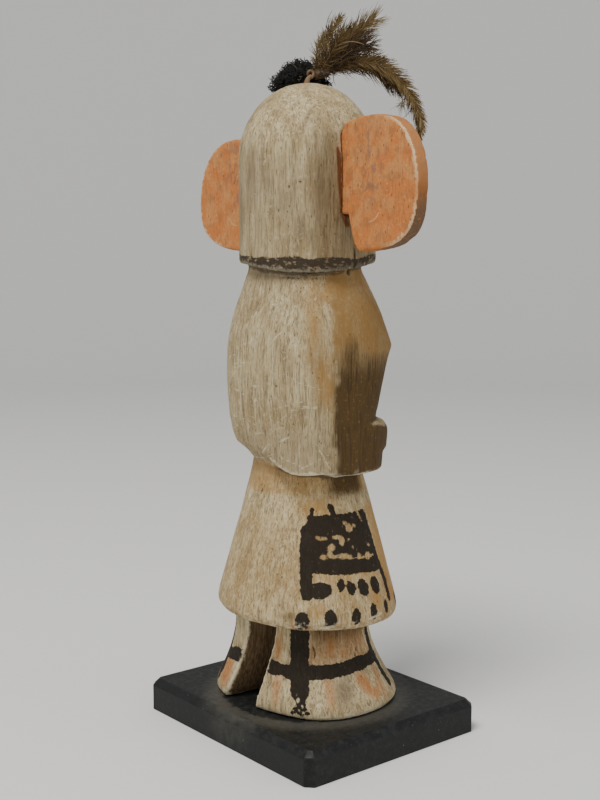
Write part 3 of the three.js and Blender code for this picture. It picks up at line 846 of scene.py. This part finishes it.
class Strands:
    """Ribbons and threads gathered into one mesh, each with a tone from 0, dark, to 1, pale."""

    def __init__(self, seed):
        self.points, self.faces, self.tones = [], [], []
        self.rng = random.Random(seed)

    def ribbon(self, path, half_width, across, tone, tip_tone):
        """A flat strip along a path that narrows to its tip."""
        start, last = len(self.points), len(path) - 1
        for i, point in enumerate(path):
            wide = across * half_width * (1 - 0.8 * (i / last) ** 2)
            self.points += [point - wide, point + wide]
            self.tones += [tone + (tip_tone - tone) * i / last] * 2
        self.faces += [(start + 2 * i, start + 2 * i + 1, start + 2 * i + 3, start + 2 * i + 2)
                       for i in range(last)]

    def thread(self, path, radius, tone, sides=4, taper=0.5, tip_tone=None):
        """A closed tube along a path that thins to taper times its radius."""
        start, last = len(self.points), len(path) - 1
        tip_tone = tone if tip_tone is None else tip_tone
        side = unit(np.cross(path[1] - path[0], (0.31, 0.52, 0.79)))
        for i, point in enumerate(path):
            along = unit(path[min(i + 1, last)] - path[max(i - 1, 0)])
            side = unit(side - along * (side @ along))
            other = np.cross(along, side)
            size = radius * (1 + (taper - 1) * i / last)
            for k in range(sides):
                angle = 2 * math.pi * k / sides
                self.points.append(point + size * (math.cos(angle) * side + math.sin(angle) * other))
                self.tones.append(tone + (tip_tone - tone) * i / last)
        for i in range(last):
            a, b = start + i * sides, start + (i + 1) * sides
            self.faces += [(a + k, a + (k + 1) % sides, b + (k + 1) % sides, b + k) for k in range(sides)]
        self.faces.append(tuple(range(start + sides - 1, start - 1, -1)))
        self.faces.append(tuple(range(start + last * sides, start + (last + 1) * sides)))

    def piece(self, name, node, material, slot):
        made = new_piece(name, self.points, self.faces, node)
        store(made.data, "tone", np.array(self.tones))
        made.data.materials.append(material)


def feather(strands, spine, widths, tone, tip_tone, facing=(0, 1, 0), spacing=0.22, slant=38, fluff=0.25):
    """Barbs on both sides of a shaft.

    widths are the vane's half-widths along it, and tones go from root to tip.
    """
    rng = strands.rng
    knots = [on_crown(*knot) for knot in spine]
    length = sum(np.linalg.norm(b - a) for a, b in zip(knots, knots[1:]))
    count = int(length / spacing)
    line = curve(knots, count)
    strands.thread(line[::3], 0.42, 0.55, taper=0.25, tip_tone=0.8)
    flat = on_crown(*facing)
    half_width = np.interp(np.linspace(0, 1, count), np.linspace(0, 1, len(widths)), widths)
    for i in range(2, count - 1):
        t = i / count
        along = unit(line[min(i + 2, count - 1)] - line[i - 2])
        outward = unit(np.cross(along, flat))
        for side in (1, -1):
            if rng.random() < 0.06:
                continue
            angle = math.radians(slant * (1.15 - 0.5 * t) + rng.gauss(0, 5 + 22 * fluff))
            reach = half_width[i] / math.sin(math.radians(slant)) * rng.uniform(0.75, 1.12)
            lift = flat * rng.gauss(0, 0.12 + 0.5 * fluff)
            heading = unit(along * math.cos(angle) + side * outward * math.sin(angle) + lift)
            bend = along * 0.22 * reach + flat * rng.gauss(0, 0.35 * fluff * reach)
            curl = on_crown(rng.gauss(0, 1), rng.gauss(0, 1), rng.gauss(0, 1)) * fluff * 0.22 * reach
            path = [line[i] + heading * reach * u + bend * u * u + curl * math.sin(2.4 * u)
                    for u in (0, 0.25, 0.5, 0.75, 1)]
            local = tone + (tip_tone - tone) * t + rng.gauss(0, 0.15)
            strands.ribbon(path, 0.16, unit(np.cross(heading, flat)) * 1.0, local, local + 0.18)


FEATHER_BLACK = (0.012, 0.007, 0.004)
FEATHER_BROWN = (0.050, 0.027, 0.010)
FEATHER_TAN = (0.15, 0.098, 0.033)
FEATHER_CREAM = (0.26, 0.20, 0.11)


def feather_finish():
    paint = Finish("brown_feather", specular=0.25)
    tone = paint.add(paint.field("tone"), paint.times(paint.add(paint.noise(2.5, detail=3), -0.5), 0.35))
    colour = paint.mix(paint.step(tone, 0.1, 0.4), FEATHER_BLACK, FEATHER_BROWN)
    colour = paint.mix(paint.step(tone, 0.4, 0.75), colour, FEATHER_TAN)
    colour = paint.mix(paint.step(tone, 0.75, 1.05), colour, FEATHER_CREAM)
    return paint.finish(colour, 0.7)


SHORT_FEATHERS = [
    # spine, half-widths, tone at the root and tip, facing, fluff
    ([(5, 0, 284.5), (6.5, 0, 293), (9.5, 0, 301.5), (14.6, 0, 308.6)],
     (1, 3, 3.4, 1.6), 0.3, 0.7, (0, 1, 0), 0.3),
    ([(6, -1, 285), (14, -1, 295), (22, -1.5, 302), (29, -2, 307)],
     (1, 4.6, 5.4, 4.2), 0.15, 0.85, (0, 1, 0.1), 0.2),
    ([(6, 1, 284.5), (12, 1, 291), (18, 1, 297), (24, 1, 301.5)],
     (2, 6.5, 6.5, 3.6), 0.08, 0.2, (0.1, 1, 0), 0.35),
    ([(4.6, -1, 284), (3.8, -1, 290), (5, -1, 296), (8, 0, 301.5)],
     (1.5, 2.6, 2.8, 1.4), 0.55, 0.8, (0, 1, 0), 0.6),
    ([(7, -2, 284.5), (14, -2.5, 290), (21, -3, 294.5), (28, -3, 296)],
     (2, 6, 6, 3), 0.1, 0.3, (0, 1, 0.2), 0.35),
    ([(7, 0, 284), (15, 0, 287.5), (24, 1, 290), (33, 1, 290)],
     (2, 4.6, 4.6, 2), 0.3, 0.5, (0, 1, 0), 0.3),
    ([(6, 3, 284), (11, 4, 292), (16, 5, 299), (20, 6, 303)],
     (2, 5, 5.4, 3), 0.25, 0.4, (0.2, 1, 0), 0.4),
    ([(5, -3, 284), (9, -5.5, 290), (12, -7.5, 295), (15, -9, 299)],
     (1.5, 4, 4.4, 2), 0.35, 0.55, (0, 1, 0.5), 0.5),
    ([(6, 2, 283.5), (11, 5, 286.5), (17, 8, 288), (22, 9, 288)],
     (1.5, 4, 4, 2), 0.3, 0.5, (0, 0.5, 1), 0.4),
]

LONG_FEATHERS = [
    ([(8.8, 0, 284.6), (18, 0, 288.8), (29, 0.5, 287.8), (39, 1, 281.8), (46, 1.5, 273), (49.6, 2, 264),
      (50.4, 2.4, 256.5)], (1.4, 4.6, 5, 4, 3.6, 2.8, 1.4), 0.35, 0.6, (0, 1, 0), 0.22),
    ([(20, -1.5, 289), (30, -2, 288), (39.5, -2, 282.4), (46, -2, 274), (50, -2, 265.5), (51.4, -2, 259)],
     (2, 4.2, 3.6, 3, 2.4, 1), 0.5, 0.75, (0, 1, 0.1), 0.16),
    ([(14, 2, 287.5), (25, 3, 287), (34, 3.6, 283), (41, 4, 277)],
     (2, 4.4, 4.6, 2), 0.2, 0.35, (0, 1, 0), 0.4),
]

LOOSE_BARBS = [
    [(31, -1, 291.5), (35, -1, 290.2), (39.5, -1, 289.6)], [(36, 0, 284), (35, 0, 280), (38, 0, 278.6)],
    [(44.5, 0, 275), (42, 0, 272), (39.5, 0, 269.6)], [(47.5, 0, 271), (45, 0, 267), (42.5, 0, 264.6)],
    [(12, 0, 285), (11.4, 0, 281.5), (12.4, 0, 279)], [(20, 0, 285), (24, 0, 283.4), (27, 0, 284.4)],
    [(8, 0, 303), (9, 0, 308), (11, 0, 311.5)], [(22, -1, 306), (22.6, -1, 310), (23.4, -1, 312)],
]


def make_feathers(material):
    short = Strands(21)
    for spine, widths, tone, tip_tone, facing, fluff in SHORT_FEATHERS:
        feather(short, spine, widths, tone, tip_tone, facing, fluff=fluff)
    bare_quill = crown_curve([(13, -6.5, 295.2), (18.6, -7, 296.8), (24, -6.5, 296)], 10)
    short.thread(bare_quill, 0.3, 0.95)
    short.piece("short_brown_feathers", "short_feathers", material, "feather")
    long = Strands(22)
    for spine, widths, tone, tip_tone, facing, fluff in LONG_FEATHERS:
        feather(long, spine, widths, tone, tip_tone, facing, fluff=fluff)
    for knots in LOOSE_BARBS:
        long.thread(crown_curve(knots, 9), 0.22, 0.12, sides=3, taper=0.3)
    down = on_crown(42, -1, 270.5)
    for _ in range(60):
        away = on_crown(*(long.rng.gauss(0, 1) for _ in range(3)))
        wisp = curve([down + away * 0.3, down + away * 1.2, down + away * 2 - (0, 0, 0.6)], 5)
        long.thread(wisp, 0.1, 1.0, 3)
    for _ in range(150):
        root = on_crown(long.rng.uniform(2, 22), long.rng.gauss(0, 2.5), 284.5)
        root = root + (0, 0, long.rng.uniform(0, 3))
        heading = on_crown(long.rng.gauss(-0.2, 1), long.rng.gauss(0, 1), long.rng.gauss(0.5, 0.8))
        turn = np.cross(unit(heading), on_crown(0, 1, 0)) * long.rng.uniform(-2.5, 2.5)
        path = [root + heading * 2.6 * u + turn * math.sin(3 * u) for u in np.linspace(0, 1, 6)]
        long.thread(path, 0.11, long.rng.uniform(0.3, 0.9), 3)
    long.piece("long_brown_feather", "long_feather", material, "feather")


def wool_finish():
    paint = Finish("black_wool", specular=0.2)
    tone = paint.field("tone")
    colour = paint.mix(paint.step(tone, 0.1, 0.9), (0.019, 0.019, 0.019), (0.14, 0.13, 0.10))
    return paint.finish(colour, 0.85)


def make_wool(material):
    """Curls of wool rooted all over the CAD tuft, with a core beneath them."""
    wool = Strands(31)
    rng = wool.rng
    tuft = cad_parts["wool_tuft"].data
    core = mesh_points(tuft)
    middle = core.mean(axis=0)
    ridged = core + 0.5 * ripple(core, (1.5, 1.5, 1.5), 61)[:, None] * mesh_normals(tuft)
    wool.points += list(middle + 0.92 * (ridged - middle))
    wool.tones += [0.0] * len(core)
    wool.faces += [tuple(face.vertices) for face in tuft.polygons]
    outer = [face for face in tuft.polygons if face.normal.z > -0.35]
    areas = [face.area for face in outer]
    for face in rng.choices(outer, areas, k=900):
        root = (np.array(face.center) - np.array(FEET)) / MM
        root += 1.2 * np.array([rng.gauss(0, 1), rng.gauss(0, 1), 0.4 * rng.gauss(0, 1)])
        normal = np.array(face.normal)
        heading = unit(normal * rng.uniform(0.1, 0.6) + np.array([rng.gauss(0, 1) for _ in range(3)]))
        side = unit(np.cross(heading, normal + 0.01))
        other = np.cross(heading, side)
        turns, size, length = rng.uniform(1, 2.4), rng.uniform(0.5, 1.2), rng.uniform(1.5, 5)
        path = []
        for k in range(15):
            u = k / 14
            angle = 2 * math.pi * turns * u
            coil = size * (math.cos(angle) * side + math.sin(angle) * other)
            path.append(root + heading * length * u + coil + normal * 0.3)
        pale = 0.9 if rng.random() < 0.03 else rng.uniform(0, 0.25)
        wool.thread(path, rng.uniform(0.14, 0.24), pale, sides=4, taper=0.6)
    wool.piece("curly_black_wool", "wool_tuft", material, "wool")


def thong_finish():
    paint = Finish("rawhide_thong", specular=0.3)
    mottle = paint.noise(1.2, detail=4)
    tone = paint.field("tone")
    colour = paint.mix(paint.step(tone, 0.2, 0.8), (0.035, 0.022, 0.012), (0.28, 0.18, 0.10))
    colour = paint.mix(paint.step(mottle, 0.45, 0.65, 0, 0.6), colour, (0.2, 0.12, 0.06))
    return paint.finish(colour, 0.6, paint.bump(mottle, 0.1))


def make_thong(material):
    """The quills' tied end: a rawhide thong's loop and stub, and the dark binding beside it."""
    tie = Strands(41)
    loop = [on_crown(1.2 + 1.3 * math.cos(a), -4.4 + 0.5 * math.sin(2 * a), 283.2 + 1.5 * math.sin(a))
            for a in np.linspace(-2.3, 3.4, 22)]
    tie.thread(loop, 0.8, 0.45, sides=8, taper=0.7)
    stub = crown_curve(((-0.6, -4.4, 278.4), (0, -4.4, 281), (1.6, -4.4, 282.8)), 8)
    tie.thread(stub, 1.5, 0.55, sides=10, taper=0.5)
    binding = []
    for k in range(150):
        u = k / 149
        angle = 2 * math.pi * 13 * u
        binding.append(on_crown(3.2 + 5.8 * u, -2.2 + 2.1 * math.cos(angle),
                                283.2 + 1.2 * u + 2.0 * math.sin(angle)))
    tie.thread(np.array(binding), 0.34, 0.1, sides=5, taper=1)
    core = crown_curve(((2.8, -2.2, 283.1), (6, -2.2, 283.8), (9.4, -2, 284.6)), 8)
    tie.thread(core, 1.9, 0.15, sides=10, taper=0.9)
    tie.piece("rawhide_tie", "quill_stub", material, "quill")


# ---- The room --------------------------------------------------------------------------------------

def make_floor():
    """A pale floor that curves up into a low wall all round."""
    flat, bend, wall_top, count = 1.5, 0.9, 1.6, 64
    profile = [(flat, 0.0)]
    profile += [(flat + math.sin(a) * bend, bend - math.cos(a) * bend) for a in np.radians(range(6, 91, 6))]
    profile.append((flat + bend, wall_top))
    turns = np.linspace(0, 2 * math.pi, count, endpoint=False)
    rings = [[(r * math.cos(t), r * math.sin(t), z) for t in turns] for r, z in profile]
    vertices = [(0, 0, 0)] + [point for ring in rings for point in ring]
    faces = [(0, 1 + i, 1 + (i + 1) % count) for i in range(count)]
    for k in range(len(rings) - 1):
        a, b = 1 + k * count, 1 + (k + 1) * count
        faces += [(a + i, b + i, b + (i + 1) % count, a + (i + 1) % count) for i in range(count)]
    mesh = bpy.data.meshes.new("floor")
    mesh.from_pydata(vertices, [], faces)
    mesh.polygons.foreach_set("use_smooth", [True] * len(mesh.polygons))
    paint = Finish("pale_floor", specular=0.15)
    mesh.materials.append(paint.finish((0.82, 0.82, 0.81), 0.9))
    floor = bpy.data.objects.new("floor", mesh)
    bpy.context.scene.collection.objects.link(floor)


def make_camera():
    azimuth, pitch = math.radians(230.476), math.radians(6.908)
    camera = bpy.data.objects.new("camera", bpy.data.cameras.new("camera"))
    camera.data.sensor_width = 36
    camera.data.lens = 55.2
    camera.data.clip_start, camera.data.clip_end = 0.01, 20
    ahead = Vector((-math.sin(azimuth) * math.cos(pitch), math.cos(azimuth) * math.cos(pitch),
                    -math.sin(pitch)))
    camera.location = FEET + Vector((-428.5, 358.0, 205.7)) * MM
    camera.rotation_euler = ahead.to_track_quat("-Z", "Y").to_euler()
    bpy.context.scene.collection.objects.link(camera)
    bpy.context.scene.camera = camera


def area_light(name, place, size, power, colour=(1, 1, 1)):
    lamp = bpy.data.lights.new(name, "AREA")
    lamp.size = size
    lamp.energy = power
    lamp.color = colour
    light = bpy.data.objects.new(name, lamp)
    light.location = place
    aim = Vector((0, 0, 0.15)) - light.location
    light.rotation_euler = aim.to_track_quat("-Z", "Y").to_euler()
    bpy.context.scene.collection.objects.link(light)


def make_lights():
    area_light("key", Vector((-0.30, 0.85, 1.75)), 0.8, 33, (1, 0.97, 0.92))
    area_light("fill", Vector((-1.2, -0.5, 0.5)), 1.0, 3)
    world = bpy.data.worlds.new("studio")
    world.use_nodes = True
    world.node_tree.nodes["Background"].inputs["Color"].default_value = (0.9, 0.92, 0.95, 1)
    world.node_tree.nodes["Background"].inputs["Strength"].default_value = 0.38
    bpy.context.scene.world = world


# ---- Everything together ---------------------------------------------------------------------------

make_figure()
make_ears(ear_finish())
make_plinth()
make_wool(wool_finish())
make_thong(thong_finish())
make_feathers(feather_finish())
make_floor()
make_camera()
make_lights()
